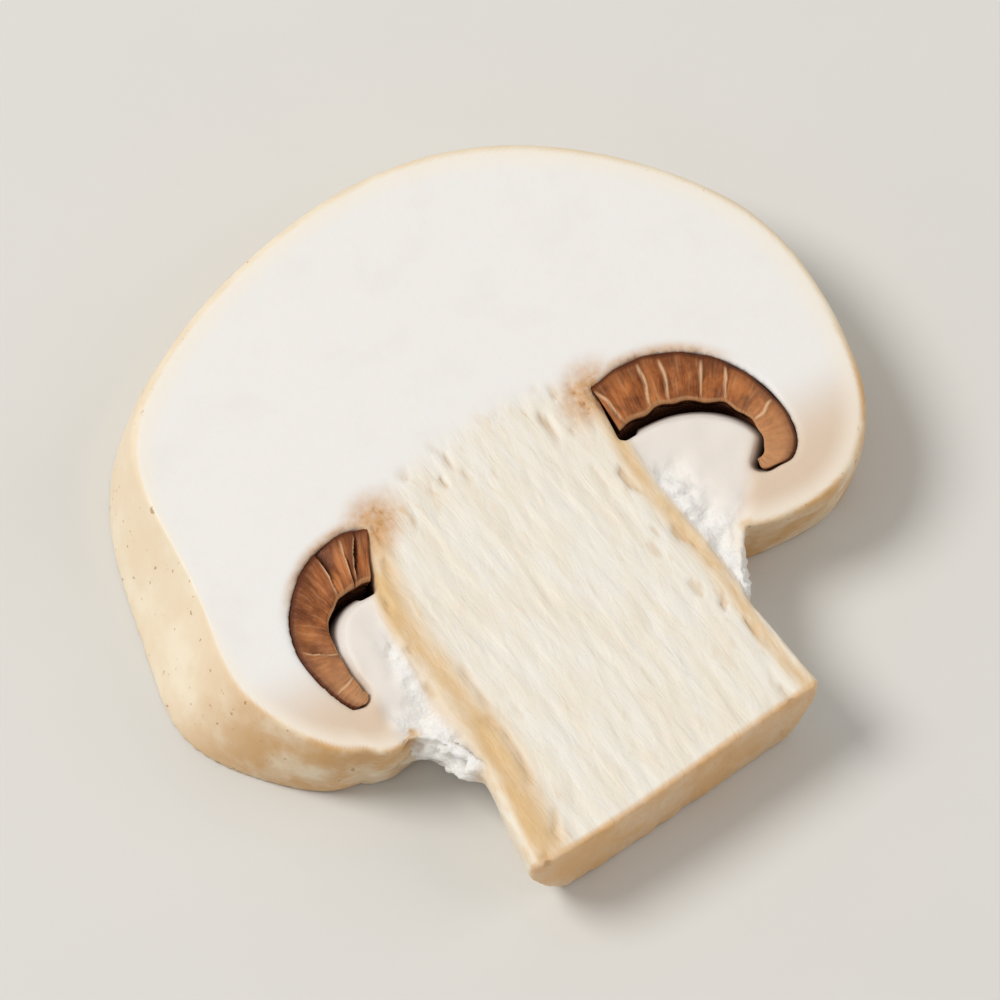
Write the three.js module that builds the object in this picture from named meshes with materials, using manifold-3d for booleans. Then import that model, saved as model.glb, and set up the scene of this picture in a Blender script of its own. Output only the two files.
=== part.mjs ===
// One slice of a button mushroom, cut lengthwise close to the middle and lying on its cut face.
// Cap, stem and veil are one grown piece of flesh, round about the stem's axis before the knife.
// The gills hang in the ring-shaped chamber under the cap, which the slice meets on both sides of the stem.
import * as THREE from "three";
import { mergeVertices } from "three/addons/utils/BufferGeometryUtils.js";
import Module from "manifold-3d";

const wasm = await Module();
wasm.setup();

// Driving dimensions in millimetres. Radii are taken from the stem's axis.
// Heights run along that axis from the level of the gill roots, with the top of the cap upwards.
// The knife passed a little to one side of the axis and at a slight tilt, so the two cut faces differ.
// The stem bends away below the cap, to the left and towards the upper cut.
const SLICE_THICKNESS = 6.2;
const CUT_OFFSET = 1.5;
const GILL_CLEARANCE = 0.3;
const CAP = { radius: 22.8, top: 19.6, widestAt: -0.5 };
const MARGIN = { radius: 14.5, bottom: -13.9, tuckRadius: 11.1, tuckHeight: -12.8 };
const STEM = { neckRadius: 8.6, radius: 9.1, baseRadius: 9.7, base: -23.8, baseRound: 0.4 };
const STEM_BEND = { sway: 1.9, rise: 4.0, innerRadius: 9.3, outerRadius: 14.6, start: 4.0, end: -8.0 };
const VEIL = { crestRadius: 10.1, crest: -4.0, outerRadius: 14.4, outerHeight: -7.9, recess: 0.5 };
const COLLAR = { radius: 10.1, height: -14.6, end: -17.0 };
const CHAMBER = { root: -0.5, topRadius: 10.5, top: 0.25, outerRadius: 16.8, outerHeight: -6.4 };
const TAIL = { radius: 14.7, bottom: -10.5 };
const HOOK = { radius: 13.95, height: -9.65, round: 0.9, startDegrees: 123, endDegrees: 298 };
const GILL_EDGE = { topRadius: 10.3, top: -3.0, outerRadius: 14.85, outerHeight: -6.8 };
const GILL_TIP = { radius: 13.75, height: -9.25 };
const FAN = { rootDegrees: 101, mainShare: 0.7, rootSpread: 9.6, tipSpread: 19.5 };
const FAN_HOOK = { roofDegrees: -100, edgeDegrees: -88 };
const BLADE = { thickness: 0.6, bandShare: 0.26, firstDegrees: -6.8, pitchDegrees: 4.4, count: 8 };
const NATURAL = { lean: 1.4, wave: 0.22, waveAcross: 0.21, waveAlong: 0.33, tilt: 1.4, tiltStart: -36.0 };
const LOWER_TURN = { slope: 0.04, leftEnd: -10.0, start: -6.0, end: -14.0 };
const LEFT_SIDE = { from: 15, inwards: 0.9, slant: 3.0, fullness: 2.0, fullestAt: -7.0, fullHeight: 6.0 };
const LEFT_PINCH = { depth: 2.0, across: -13.5, width: 2.4, start: -7.0, end: -12.5 };
const LEFT_LIFT = { height: 1.3, across: -15.2, width: 2.6 };

// How finely the curves are stepped
const LATHE_STEPS = 96;
const CORNER_STEPS = 4;
const ARC_STEPS = 10;
const DOME_STEPS = 18;
const BLADE_STEPS = 12;
const BAND_STEPS = 4;
const WELD = 1e-4;
const LEFT = -1;
const RIGHT = 1;

const radians = THREE.MathUtils.degToRad;
const lerp = THREE.MathUtils.lerp;
const clamp = THREE.MathUtils.clamp;
const smoothstep = THREE.MathUtils.smoothstep;
const upperCut = CUT_OFFSET + SLICE_THICKNESS / 2;
const lowerCut = CUT_OFFSET - SLICE_THICKNESS / 2;

const fleshMaterial = new THREE.MeshStandardMaterial({ color: "#eee9dc", roughness: 0.75 });
const gillMaterial = new THREE.MeshStandardMaterial({ color: "#8a5130", roughness: 0.85 });

function arc(centreX, centreY, radiusX, radiusY, from, to, steps) {
  const curve = new THREE.EllipseCurve(
    centreX, centreY, radiusX, radiusY, radians(from), radians(to), to < from,
  );
  return curve.getPoints(steps);
}

function onArc(centreX, centreY, radiusX, radiusY, degrees) {
  const angle = radians(degrees);
  return new THREE.Vector2(centreX + radiusX * Math.cos(angle), centreY + radiusY * Math.sin(angle));
}

function solidOf(geometry) {
  const bare = geometry.clone();
  bare.deleteAttribute("normal");
  bare.deleteAttribute("uv");
  const welded = mergeVertices(bare, WELD);
  const mesh = new wasm.Mesh({
    numProp: 3,
    vertProperties: new Float32Array(welded.attributes.position.array),
    triVerts: new Uint32Array(welded.index.array),
  });
  return new wasm.Manifold(mesh);
}

function geometryOf(solid) {
  const mesh = solid.getMesh();
  const geometry = new THREE.BufferGeometry();
  geometry.setAttribute("position", new THREE.BufferAttribute(mesh.vertProperties, 3));
  geometry.setIndex(new THREE.BufferAttribute(mesh.triVerts, 1));
  return geometry;
}

// How far a ring of the straight mushroom follows the stem's bend, from 0 to 1
function bendShare(radius, height) {
  const ringWidth = STEM_BEND.outerRadius - STEM_BEND.innerRadius;
  const byRadius = clamp((STEM_BEND.outerRadius - radius) / ringWidth, 0, 1);
  const byHeight = 1 - smoothstep(height, STEM_BEND.end, STEM_BEND.start);
  return byRadius * byHeight;
}

function bendStem(geometry) {
  const positions = geometry.attributes.position;
  for (let i = 0; i < positions.count; i += 1) {
    const x = positions.getX(i);
    const z = positions.getZ(i);
    const share = bendShare(Math.hypot(x, z), positions.getY(i));
    positions.setX(i, x - STEM_BEND.sway * share);
    positions.setZ(i, z + STEM_BEND.rise * share);
  }
  return geometry;
}

// Half outline of the whole mushroom, from the trimmed stem base up to the top of the cap
function bodyProfile() {
  const cornerRadius = STEM.baseRadius - STEM.baseRound;
  const cornerHeight = STEM.base + STEM.baseRound;
  const tuckWidth = MARGIN.radius - MARGIN.tuckRadius;
  const tuckDrop = MARGIN.tuckHeight - MARGIN.bottom;
  const lobeWidth = CAP.radius - MARGIN.radius;
  const lobeDrop = CAP.widestAt - MARGIN.bottom;
  return [
    new THREE.Vector2(0, STEM.base),
    ...arc(cornerRadius, cornerHeight, STEM.baseRound, STEM.baseRound, -90, 0, CORNER_STEPS),
    new THREE.Vector2(STEM.radius, COLLAR.end),
    new THREE.Vector2(COLLAR.radius, COLLAR.height),
    ...arc(MARGIN.radius, MARGIN.tuckHeight, tuckWidth, tuckDrop, 180, 270, ARC_STEPS),
    ...arc(MARGIN.radius, CAP.widestAt, lobeWidth, lobeDrop, 270, 360, DOME_STEPS).slice(1),
    ...arc(0, CAP.widestAt, CAP.radius, CAP.top - CAP.widestAt, 0, 90, DOME_STEPS).slice(1, -1),
    new THREE.Vector2(0, CAP.top),
  ];
}

// Closed half section of the gill chamber, from the stem along the veil and back under the cap
function chamberProfile() {
  const veilWidth = VEIL.outerRadius - VEIL.crestRadius;
  const veilDrop = VEIL.crest - VEIL.outerHeight;
  const roofWidth = CHAMBER.outerRadius - CHAMBER.topRadius;
  const roofDrop = CHAMBER.top - CHAMBER.outerHeight;
  const tailWidth = CHAMBER.outerRadius - TAIL.radius;
  const tailDrop = CHAMBER.outerHeight - TAIL.bottom;
  const rootWidth = CHAMBER.topRadius - STEM.neckRadius;
  const rootRise = CHAMBER.top - CHAMBER.root;
  const outline = [
    ...arc(VEIL.crestRadius, VEIL.outerHeight, veilWidth, veilDrop, 90, 0, ARC_STEPS),
    ...arc(
      HOOK.radius, HOOK.height, HOOK.round, HOOK.round, HOOK.startDegrees, HOOK.endDegrees, CORNER_STEPS,
    ),
    ...arc(TAIL.radius, CHAMBER.outerHeight, tailWidth, tailDrop, 270, 360, ARC_STEPS).slice(1),
    ...arc(CHAMBER.topRadius, CHAMBER.outerHeight, roofWidth, roofDrop, 0, 90, DOME_STEPS).slice(1),
    ...arc(CHAMBER.topRadius, CHAMBER.root, rootWidth, rootRise, 90, 180, CORNER_STEPS).slice(1),
    new THREE.Vector2(STEM.neckRadius, VEIL.crest),
  ];
  return [...outline, outline[0].clone()];
}

// The cut veil is cottony and sinks a little below the cut face at this level
function veilRecess(level, side) {
  const onCut = (radius, height) => {
    const share = bendShare(radius, height);
    const straightLevel = level - STEM_BEND.rise * share;
    const across = Math.sqrt(radius * radius - straightLevel * straightLevel);
    return [side * across - STEM_BEND.sway * share, height];
  };
  const crest = VEIL.crest + VEIL.recess;
  const patch = new THREE.Shape();
  patch.moveTo(...onCut(STEM.radius, crest));
  patch.lineTo(...onCut(VEIL.crestRadius, crest));
  patch.quadraticCurveTo(...onCut(VEIL.outerRadius, VEIL.crest), ...onCut(HOOK.radius, HOOK.height));
  const tuck = onCut(MARGIN.tuckRadius, MARGIN.tuckHeight);
  patch.quadraticCurveTo(...onCut(MARGIN.tuckRadius, TAIL.bottom), ...tuck);
  patch.lineTo(...onCut(MARGIN.tuckRadius, COLLAR.end));
  patch.lineTo(...onCut(STEM.radius, COLLAR.end));
  patch.lineTo(...onCut(STEM.radius, STEM_BEND.end));
  const depth = 2 * VEIL.recess;
  const settings = { depth, bevelEnabled: false, curveSegments: ARC_STEPS };
  const geometry = new THREE.ExtrudeGeometry(patch, settings);
  geometry.translate(0, 0, level - VEIL.recess);
  return solidOf(geometry);
}

function slab() {
  const reach = 3 * CAP.radius;
  const box = new THREE.BoxGeometry(reach, reach, SLICE_THICKNESS);
  return solidOf(box.translate(0, 0, CUT_OFFSET));
}

function fleshSolid() {
  const body = solidOf(bendStem(new THREE.LatheGeometry(bodyProfile(), LATHE_STEPS)));
  const chamber = solidOf(bendStem(new THREE.LatheGeometry(chamberProfile(), LATHE_STEPS)));
  let slice = body.subtract(chamber).intersect(slab());
  for (const level of [upperCut, lowerCut]) {
    for (const side of [LEFT, RIGHT]) {
      slice = slice.subtract(veilRecess(level, side));
    }
  }
  return slice;
}

// Point of the gill section: along runs from stem to hooked tip, across from cap to free edge
function gillSection(along, across) {
  if (along < FAN.mainShare) {
    const angle = lerp(FAN.rootDegrees, 0, along / FAN.mainShare);
    const roofWidth = CHAMBER.outerRadius - CHAMBER.topRadius - GILL_CLEARANCE;
    const roofDrop = CHAMBER.top - CHAMBER.outerHeight - GILL_CLEARANCE;
    const roof = onArc(CHAMBER.topRadius, CHAMBER.outerHeight, roofWidth, roofDrop, angle);
    const edgeWidth = GILL_EDGE.outerRadius - GILL_EDGE.topRadius;
    const edgeDrop = GILL_EDGE.top - GILL_EDGE.outerHeight;
    const edge = onArc(GILL_EDGE.topRadius, GILL_EDGE.outerHeight, edgeWidth, edgeDrop, angle);
    return roof.lerp(edge, across);
  }
  const tailShare = (along - FAN.mainShare) / (1 - FAN.mainShare);
  const tailWidth = CHAMBER.outerRadius - TAIL.radius - GILL_CLEARANCE;
  const tailDrop = CHAMBER.outerHeight - TAIL.bottom - GILL_CLEARANCE;
  const roofAngle = FAN_HOOK.roofDegrees * tailShare;
  const tail = onArc(TAIL.radius, CHAMBER.outerHeight, tailWidth, tailDrop, roofAngle);
  const tipWidth = GILL_EDGE.outerRadius - GILL_TIP.radius;
  const tipDrop = GILL_EDGE.outerHeight - GILL_TIP.height;
  const edgeAngle = FAN_HOOK.edgeDegrees * tailShare;
  const tip = onArc(GILL_TIP.radius, GILL_EDGE.outerHeight, tipWidth, tipDrop, edgeAngle);
  return tail.lerp(tip, across);
}

// Bends a unit box into the gill section: its X runs along, its Y across and its Z through the slice
function bendToGill(box, side, acrossShare, depthAt) {
  const positions = box.attributes.position;
  for (let i = 0; i < positions.count; i += 1) {
    const along = positions.getX(i) + 0.5;
    const across = (0.5 - positions.getY(i)) * acrossShare;
    const depth = depthAt(along, positions.getZ(i));
    const section = gillSection(along, across);
    const flat = Math.sqrt(section.x * section.x - depth * depth);
    positions.setXYZ(i, flat, section.y, depth);
  }
  if (side === LEFT) {
    box.applyMatrix4(new THREE.Matrix4().makeScale(-1, 1, 1));
    box.index.array.reverse();
  }
  return bendStem(box);
}

function gillBlade(side, degrees) {
  const box = new THREE.BoxGeometry(1, 1, 1, BLADE_STEPS, 1, 1);
  const slope = Math.tan(radians(degrees));
  const spread = (along) => lerp(FAN.rootSpread, FAN.tipSpread, along);
  return bendToGill(box, side, 1, (along, layer) => slope * spread(along) + layer * BLADE.thickness);
}

function gillRootBand(side) {
  const box = new THREE.BoxGeometry(1, 1, 1, BLADE_STEPS, 1, BAND_STEPS);
  const depth = SLICE_THICKNESS + 2 * STEM_BEND.rise;
  return bendToGill(box, side, BLADE.bandShare, (along, layer) => CUT_OFFSET + layer * depth);
}

// Slivers that the knife parts from the band fall away
function largestBody(solid) {
  const bodies = solid.decompose();
  return bodies.reduce((largest, body) => (body.volume() > largest.volume() ? body : largest));
}

// A fan of radial blades standing on the band that joins them to the cap
function gillFan(side) {
  let fan = solidOf(gillRootBand(side));
  for (let i = 0; i < BLADE.count; i += 1) {
    fan = fan.add(solidOf(gillBlade(side, BLADE.firstDegrees + i * BLADE.pitchDegrees)));
  }
  return largestBody(fan.intersect(slab()));
}

// The lean and waviness of a grown mushroom, its turned lower part, the tilt of the cut,
// the left side that is slanted above and full below, and the left lobe, pinched outwards and up
function growNaturally(geometry) {
  const positions = geometry.attributes.position;
  for (let i = 0; i < positions.count; i += 1) {
    const x = positions.getX(i);
    const y = positions.getY(i);
    const lift = Math.max(0, y) / CAP.top;
    const lean = NATURAL.lean * lift * lift;
    const depthShare = (upperCut - positions.getZ(i)) / SLICE_THICKNESS;
    const leftShare = Math.max(0, -x - LEFT_SIDE.from) / (CAP.radius - LEFT_SIDE.from);
    const fromFullest = (y - LEFT_SIDE.fullestAt) / LEFT_SIDE.fullHeight;
    const fullness = LEFT_SIDE.fullness * Math.exp(-fromFullest * fromFullest);
    const inwards = LEFT_SIDE.inwards + LEFT_SIDE.slant * (1 - depthShare) - fullness;
    const slant = inwards * leftShare * leftShare;
    const tilt = NATURAL.tilt * depthShare * smoothstep(y, NATURAL.tiltStart, MARGIN.bottom);
    const turnShare = 1 - smoothstep(y, LOWER_TURN.end, LOWER_TURN.start);
    const turn = LOWER_TURN.slope * Math.max(x, LOWER_TURN.leftEnd) * turnShare;
    const pinchShare = 1 - smoothstep(y, LEFT_PINCH.end, LEFT_PINCH.start);
    const pinchAt = (x - LEFT_PINCH.across) / LEFT_PINCH.width;
    const pinch = LEFT_PINCH.depth * Math.exp(-pinchAt * pinchAt) * pinchShare;
    const liftAt = (x - LEFT_LIFT.across) / LEFT_LIFT.width;
    const lobeLift = LEFT_LIFT.height * Math.exp(-liftAt * liftAt) * pinchShare;
    positions.setX(i, x + lean + slant - pinch + NATURAL.wave * Math.sin(y * NATURAL.waveAlong));
    positions.setY(i, y + tilt + turn + lobeLift + NATURAL.wave * Math.sin(x * NATURAL.waveAcross));
  }
  return geometry;
}

function pieceOf(name, solid, material) {
  const geometry = growNaturally(geometryOf(solid));
  geometry.computeVertexNormals();
  const mesh = new THREE.Mesh(geometry, material);
  mesh.name = name;
  return mesh;
}

const pieces = [
  pieceOf("cap_and_stem", fleshSolid(), fleshMaterial),
  pieceOf("gills_right", gillFan(RIGHT), gillMaterial),
  pieceOf("gills_left", gillFan(LEFT), gillMaterial),
];

// The slice lies on its cut face with the origin under the middle of its outline
const group = new THREE.Group();
group.name = "button_mushroom_slice";
const box = new THREE.Box3().setFromObject(pieces[0]);
const middle = box.getCenter(new THREE.Vector3());
for (const piece of pieces) {
  piece.geometry.translate(-middle.x, -middle.y, -box.min.z);
  group.add(piece);
}

export default group;
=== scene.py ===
"""A slice of a button mushroom, lying on its lower cut face on a pale floor.

Sizes are in millimetres, in the mushroom's own directions: X across the cap, Y along the stem
towards the top of the cap, Z through the slice. Each piece is put in the frame's place and brought
to metres when it is finished.
"""
import math
import random
from collections import namedtuple

import bmesh
import bpy
import numpy as np
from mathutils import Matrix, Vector, noise


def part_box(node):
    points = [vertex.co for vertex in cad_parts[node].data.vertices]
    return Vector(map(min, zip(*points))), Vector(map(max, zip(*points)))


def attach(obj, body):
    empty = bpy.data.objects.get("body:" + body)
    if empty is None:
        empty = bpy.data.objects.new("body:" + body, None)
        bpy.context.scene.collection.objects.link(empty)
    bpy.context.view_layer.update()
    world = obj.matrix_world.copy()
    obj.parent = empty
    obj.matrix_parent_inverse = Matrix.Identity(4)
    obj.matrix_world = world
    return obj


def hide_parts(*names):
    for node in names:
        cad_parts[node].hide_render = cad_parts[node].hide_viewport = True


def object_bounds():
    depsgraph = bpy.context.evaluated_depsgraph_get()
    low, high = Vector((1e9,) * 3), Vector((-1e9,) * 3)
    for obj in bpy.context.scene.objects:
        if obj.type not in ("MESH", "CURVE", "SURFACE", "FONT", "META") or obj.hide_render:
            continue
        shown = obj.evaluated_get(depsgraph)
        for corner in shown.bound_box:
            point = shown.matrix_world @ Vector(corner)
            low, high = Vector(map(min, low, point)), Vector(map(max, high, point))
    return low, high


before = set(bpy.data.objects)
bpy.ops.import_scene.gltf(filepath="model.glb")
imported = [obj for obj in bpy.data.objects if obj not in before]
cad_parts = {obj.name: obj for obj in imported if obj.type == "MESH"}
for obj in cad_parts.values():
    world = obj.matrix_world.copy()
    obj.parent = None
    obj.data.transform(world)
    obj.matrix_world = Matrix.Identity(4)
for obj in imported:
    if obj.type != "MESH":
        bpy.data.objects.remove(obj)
cad_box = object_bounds()

# Flesh, as it grew. Cap, stem and veil are one piece of soft white tissue, round about the stem's axis,
# with a ring-shaped chamber for the gills left hollow under the cap.
MM = 0.001
CAP_RADIUS = 22.8
CAP_TOP = 19.6
WIDEST_AT = -0.5
MARGIN_RADIUS = 14.5
MARGIN_BOTTOM = -13.9
TUCK_RADIUS = 11.1
TUCK_HEIGHT = -12.8
STEM_RADIUS = 9.1
NECK_RADIUS = 8.6
STEM_BASE = -23.8
BASE_RADIUS = 9.7
BASE_ROUND = 0.4
COLLAR_RADIUS = 10.1
COLLAR_HEIGHT = -14.6
COLLAR_END = -17.0
VEIL_CREST_RADIUS = 10.1
VEIL_CREST = -4.0
VEIL_OUTER_RADIUS = 14.5
VEIL_OUTER_HEIGHT = -7.9
CHAMBER_ROOT = -0.5
CHAMBER_TOP_RADIUS = 10.5
CHAMBER_TOP = 0.25
CHAMBER_OUTER_RADIUS = 16.8
CHAMBER_OUTER_HEIGHT = -6.4
TAIL_RADIUS = 14.7
TAIL_BOTTOM = -10.5
HOOK_RADIUS = 13.95
HOOK_HEIGHT = -9.7
HOOK_ROUND = 0.75
HOOK_DEGREES = 213
HOOK_TURN_BEFORE = 90
HOOK_TURN_AFTER = 85
STEM_SWAY = 1.9
STEM_RISE = 4.0
BEND_INNER_RADIUS = 9.3
BEND_OUTER_RADIUS = 14.6
BEND_START = 4.0
BEND_END = -8.0
BASE_STEPS = 5
TUCK_STEPS = 12
LOBE_STEPS = 24
DOME_STEPS = 32
VEIL_STEPS = 14
HOOK_STEPS = 8
TAIL_STEPS = 12
ROOF_STEPS = 24
ROOT_STEPS = 6
TURN_STEPS = 160
WELD = 1e-4


def arc(centre, radii, start, end, steps):
    """Points of an elliptical arc, from start to end in degrees."""
    points = []
    for step in range(steps + 1):
        angle = math.radians(start + (end - start) * step / steps)
        points.append((centre[0] + radii[0] * math.cos(angle), centre[1] + radii[1] * math.sin(angle)))
    return points


stem_outline = [(0, STEM_BASE)]
stem_outline += arc(
    (BASE_RADIUS - BASE_ROUND, STEM_BASE + BASE_ROUND), (BASE_ROUND, BASE_ROUND), -90, 0, BASE_STEPS,
)
stem_outline += [(STEM_RADIUS, COLLAR_END), (COLLAR_RADIUS, COLLAR_HEIGHT)]
tuck_outline = arc(
    (MARGIN_RADIUS, TUCK_HEIGHT),
    (MARGIN_RADIUS - TUCK_RADIUS, TUCK_HEIGHT - MARGIN_BOTTOM), 180, 270, TUCK_STEPS,
)
lobe_outline = arc(
    (MARGIN_RADIUS, WIDEST_AT),
    (CAP_RADIUS - MARGIN_RADIUS, WIDEST_AT - MARGIN_BOTTOM), 270, 360, LOBE_STEPS,
)
dome_outline = arc((0, WIDEST_AT), (CAP_RADIUS, CAP_TOP - WIDEST_AT), 0, 90, DOME_STEPS)
skin_outline = tuck_outline + lobe_outline[1:] + dome_outline[1:]
veil_outline = arc(
    (VEIL_CREST_RADIUS, VEIL_OUTER_HEIGHT),
    (VEIL_OUTER_RADIUS - VEIL_CREST_RADIUS, VEIL_CREST - VEIL_OUTER_HEIGHT), 90, 0, VEIL_STEPS,
)
tip_outline = arc(
    (HOOK_RADIUS, HOOK_HEIGHT), (HOOK_ROUND, HOOK_ROUND),
    HOOK_DEGREES - HOOK_TURN_BEFORE, HOOK_DEGREES + HOOK_TURN_AFTER, HOOK_STEPS,
)
roof_outline = arc(
    (TAIL_RADIUS, CHAMBER_OUTER_HEIGHT),
    (CHAMBER_OUTER_RADIUS - TAIL_RADIUS, CHAMBER_OUTER_HEIGHT - TAIL_BOTTOM), 270, 360, TAIL_STEPS,
)
roof_outline += arc(
    (CHAMBER_TOP_RADIUS, CHAMBER_OUTER_HEIGHT),
    (CHAMBER_OUTER_RADIUS - CHAMBER_TOP_RADIUS, CHAMBER_TOP - CHAMBER_OUTER_HEIGHT), 0, 90, ROOF_STEPS,
)[1:]
roof_outline += arc(
    (CHAMBER_TOP_RADIUS, CHAMBER_ROOT),
    (CHAMBER_TOP_RADIUS - NECK_RADIUS, CHAMBER_TOP - CHAMBER_ROOT), 90, 180, ROOT_STEPS,
)[1:]
neck_outline = [roof_outline[-1], (NECK_RADIUS, VEIL_CREST)]
chamber_outline = veil_outline + tip_outline + roof_outline[1:] + neck_outline[1:]


def turn_about_stem(mesh, outline, closed):
    """Turns a half outline about the stem's axis into a round surface."""
    ring = [mesh.verts.new((radius, height, 0)) for radius, height in outline]
    followers = ring[1:] + ring[:1] if closed else ring[1:]
    edges = [mesh.edges.new(pair) for pair in zip(ring, followers)]
    bmesh.ops.spin(
        mesh, geom=ring + edges, cent=(0, 0, 0), axis=(0, 1, 0), dvec=(0, 0, 0),
        angle=2 * math.pi, steps=TURN_STEPS, use_merge=True,
    )


def ramp(values, low, high):
    """0 at low and 1 at high, smooth between them and level beyond. Low may be above high."""
    share = np.clip((values - low) / (high - low), 0, 1)
    return share * share * (3 - 2 * share)


def bend_at(radius, height):
    """How far a ring of the straight mushroom is bent across the slice, and how far through it."""
    share = np.clip((BEND_OUTER_RADIUS - radius) / (BEND_OUTER_RADIUS - BEND_INNER_RADIUS), 0, 1)
    share = share * ramp(height, BEND_START, BEND_END)
    return -STEM_SWAY * share, STEM_RISE * share


flesh = bmesh.new()
turn_about_stem(flesh, stem_outline + skin_outline, closed=False)
turn_about_stem(flesh, chamber_outline, closed=True)
bmesh.ops.remove_doubles(flesh, verts=flesh.verts, dist=WELD)
for vertex in flesh.verts:
    sway, rise = bend_at(math.hypot(vertex.co.x, vertex.co.z), vertex.co.y)
    vertex.co += Vector((sway, 0, rise))

# Knife cuts. Two flat cuts make the slice. They pass a little to one side of the stem's axis,
# so the lower cut face lies nearer the middle of the mushroom than the upper one.
SLICE_THICKNESS = 6.2
CUT_OFFSET = 1.5
UPPER_CUT = CUT_OFFSET + SLICE_THICKNESS / 2
LOWER_CUT = CUT_OFFSET - SLICE_THICKNESS / 2
VOXEL = 0.22
ROUNDING_PASSES = 2
ROUNDING_SHARE = 0.5


def cut_away(mesh, level, outwards):
    """Cuts the mesh flat at a level, drops what lies outwards of it and closes the cut face."""
    geometry = mesh.verts[:] + mesh.edges[:] + mesh.faces[:]
    direction = (0, 0, outwards)
    cut = bmesh.ops.bisect_plane(
        mesh, geom=geometry, plane_co=(0, 0, level), plane_no=direction, clear_outer=True,
    )
    edges = [part for part in cut["geom_cut"] if isinstance(part, bmesh.types.BMEdge)]
    bmesh.ops.triangle_fill(mesh, edges=edges, use_beauty=True, normal=direction)


def even_mesh(name, mesh, voxel):
    """The same closed shape with even small faces all over, ready for fine relief."""
    coarse = bpy.data.meshes.new(name + "_coarse")
    mesh.to_mesh(coarse)
    holder = bpy.data.objects.new(name + "_coarse", coarse)
    bpy.context.collection.objects.link(holder)
    voxels = holder.modifiers.new("voxels", "REMESH")
    voxels.mode = "VOXEL"
    voxels.voxel_size = voxel
    evaluated = holder.evaluated_get(bpy.context.evaluated_depsgraph_get())
    fine = bmesh.new()
    fine.from_mesh(evaluated.to_mesh())
    evaluated.to_mesh_clear()
    bpy.data.objects.remove(holder)
    bpy.data.meshes.remove(coarse)
    return fine


cut_away(flesh, UPPER_CUT, 1)
cut_away(flesh, LOWER_CUT, -1)
bmesh.ops.recalc_face_normals(flesh, faces=flesh.faces)
fine_flesh = even_mesh("flesh", flesh, VOXEL)
flesh.free()
for _ in range(ROUNDING_PASSES):
    bmesh.ops.smooth_vert(
        fine_flesh, verts=fine_flesh.verts, factor=ROUNDING_SHARE,
        use_axis_x=True, use_axis_y=True, use_axis_z=True,
    )
fine_flesh.normal_update()
points = np.array([vertex.co[:] for vertex in fine_flesh.verts])
normals = np.array([vertex.normal[:] for vertex in fine_flesh.verts])

# Zones of the flesh. The skin, the stem's fibres and the cottony veil are parts of the same tissue. The
# chamber's walls, away from the cut faces, get painted shade: a near-black brown where shade falls in
# the hollow. Each zone is a soft mask over the one mesh, from distances to the outlines.
# A pair of values is where a mask is 0 and where it is 1.
STRAIGHTEN_ROUNDS = 12
CUT_FACE = (0.5, 0.2)
SKIN_DEPTH = 0.32
SKIN_BLUR = 0.15
RIM_DEPTH = 2.0
LOWER_CAP = (1.0, -12.5)
CHAMBER_SHADE_DEPTH = (0.45, 0.25)
ROOF_SHADE_FROM_CUT = (0.2, 0.5)
VEIL_SHADE_FROM_CUT = (0.4, 1.4)
BARK_DEPTH = (0.45, 0.15)
BARK_TOP = (COLLAR_END + 0.5, COLLAR_END - 1.0)
BASE_FACE = (STEM_BASE + 0.55, STEM_BASE + 0.25)
STEM_CROWN = 2.3
STEM_CROWN_CURVE = 0.03
CROWN_FADE = (0.9, -1.6)
STEM_SIDE = (0.25, -0.15)
WORN_SIDE = (4.0, 0.8)
WORN_CROWN = (-5.0, -1.5)
LOBE_SIDE_HEIGHTS = (TUCK_HEIGHT, TAIL_BOTTOM, VEIL_OUTER_HEIGHT)
LOBE_SIDE_RADII = (TUCK_RADIUS, 13.2, 14.6)
LEFT_TUCK_COVER = 1.4
VEIL_STEM_SIDE = (STEM_RADIUS - 0.15, STEM_RADIUS + 0.25)
VEIL_LOBE_OVERLAP = 0.2
VEIL_LOBE_FADE = 1.4
VEIL_TOP = (VEIL_CREST + 1.2, VEIL_CREST + 0.3)
VEIL_END = (COLLAR_END - 0.4, COLLAR_END + 0.6)
TORN_BESIDE_STEM = (STEM_RADIUS + 2.6, STEM_RADIUS + 0.4)
TORN_TOP = (-5.0, -8.0)
TATTER_TOP = (-10.0, -12.5)
LEFT_STRIPE = 2.6
RIGHT_STRIPE = 1.5
STRIPE_FADE = (1.0, 0.3)
STRIPE_TOP = (0.5, -1.5)
STRIPE_PALE_EDGE = (0.1, 0.5)
STRIPE_PALING = 0.4
STAIN_RADIUS = 7.6
STAIN_HEIGHT = -0.2
STAIN_FADE = (2.8, 0.3)
ROOF_STAIN_FADE = (0.9, 0.1)
ROOF_STAIN_TOP = (-3.5, -0.5)
ROOF_STAIN_SHARE = 0.8


def distance_to(outline, radius, height):
    """Distance of each point of the half section to an outline."""
    nearest = np.full(radius.shape, np.inf)
    for (r0, h0), (r1, h1) in zip(outline, outline[1:]):
        run = np.array((r1 - r0, h1 - h0))
        share = ((radius - r0) * run[0] + (height - h0) * run[1]) / max(run @ run, 1e-9)
        share = np.clip(share, 0, 1)
        gap = np.hypot(radius - r0 - share * run[0], height - h0 - share * run[1])
        nearest = np.minimum(nearest, gap)
    return nearest


def straightened(places):
    """The same places on the straight mushroom, before the stem's bend."""
    x, y, z = places.T
    straight_x, straight_z = x, z
    for _ in range(STRAIGHTEN_ROUNDS):
        sway, rise = bend_at(np.hypot(straight_x, straight_z), y)
        straight_x, straight_z = x - sway, z - rise
    return straight_x, y, straight_z


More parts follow.
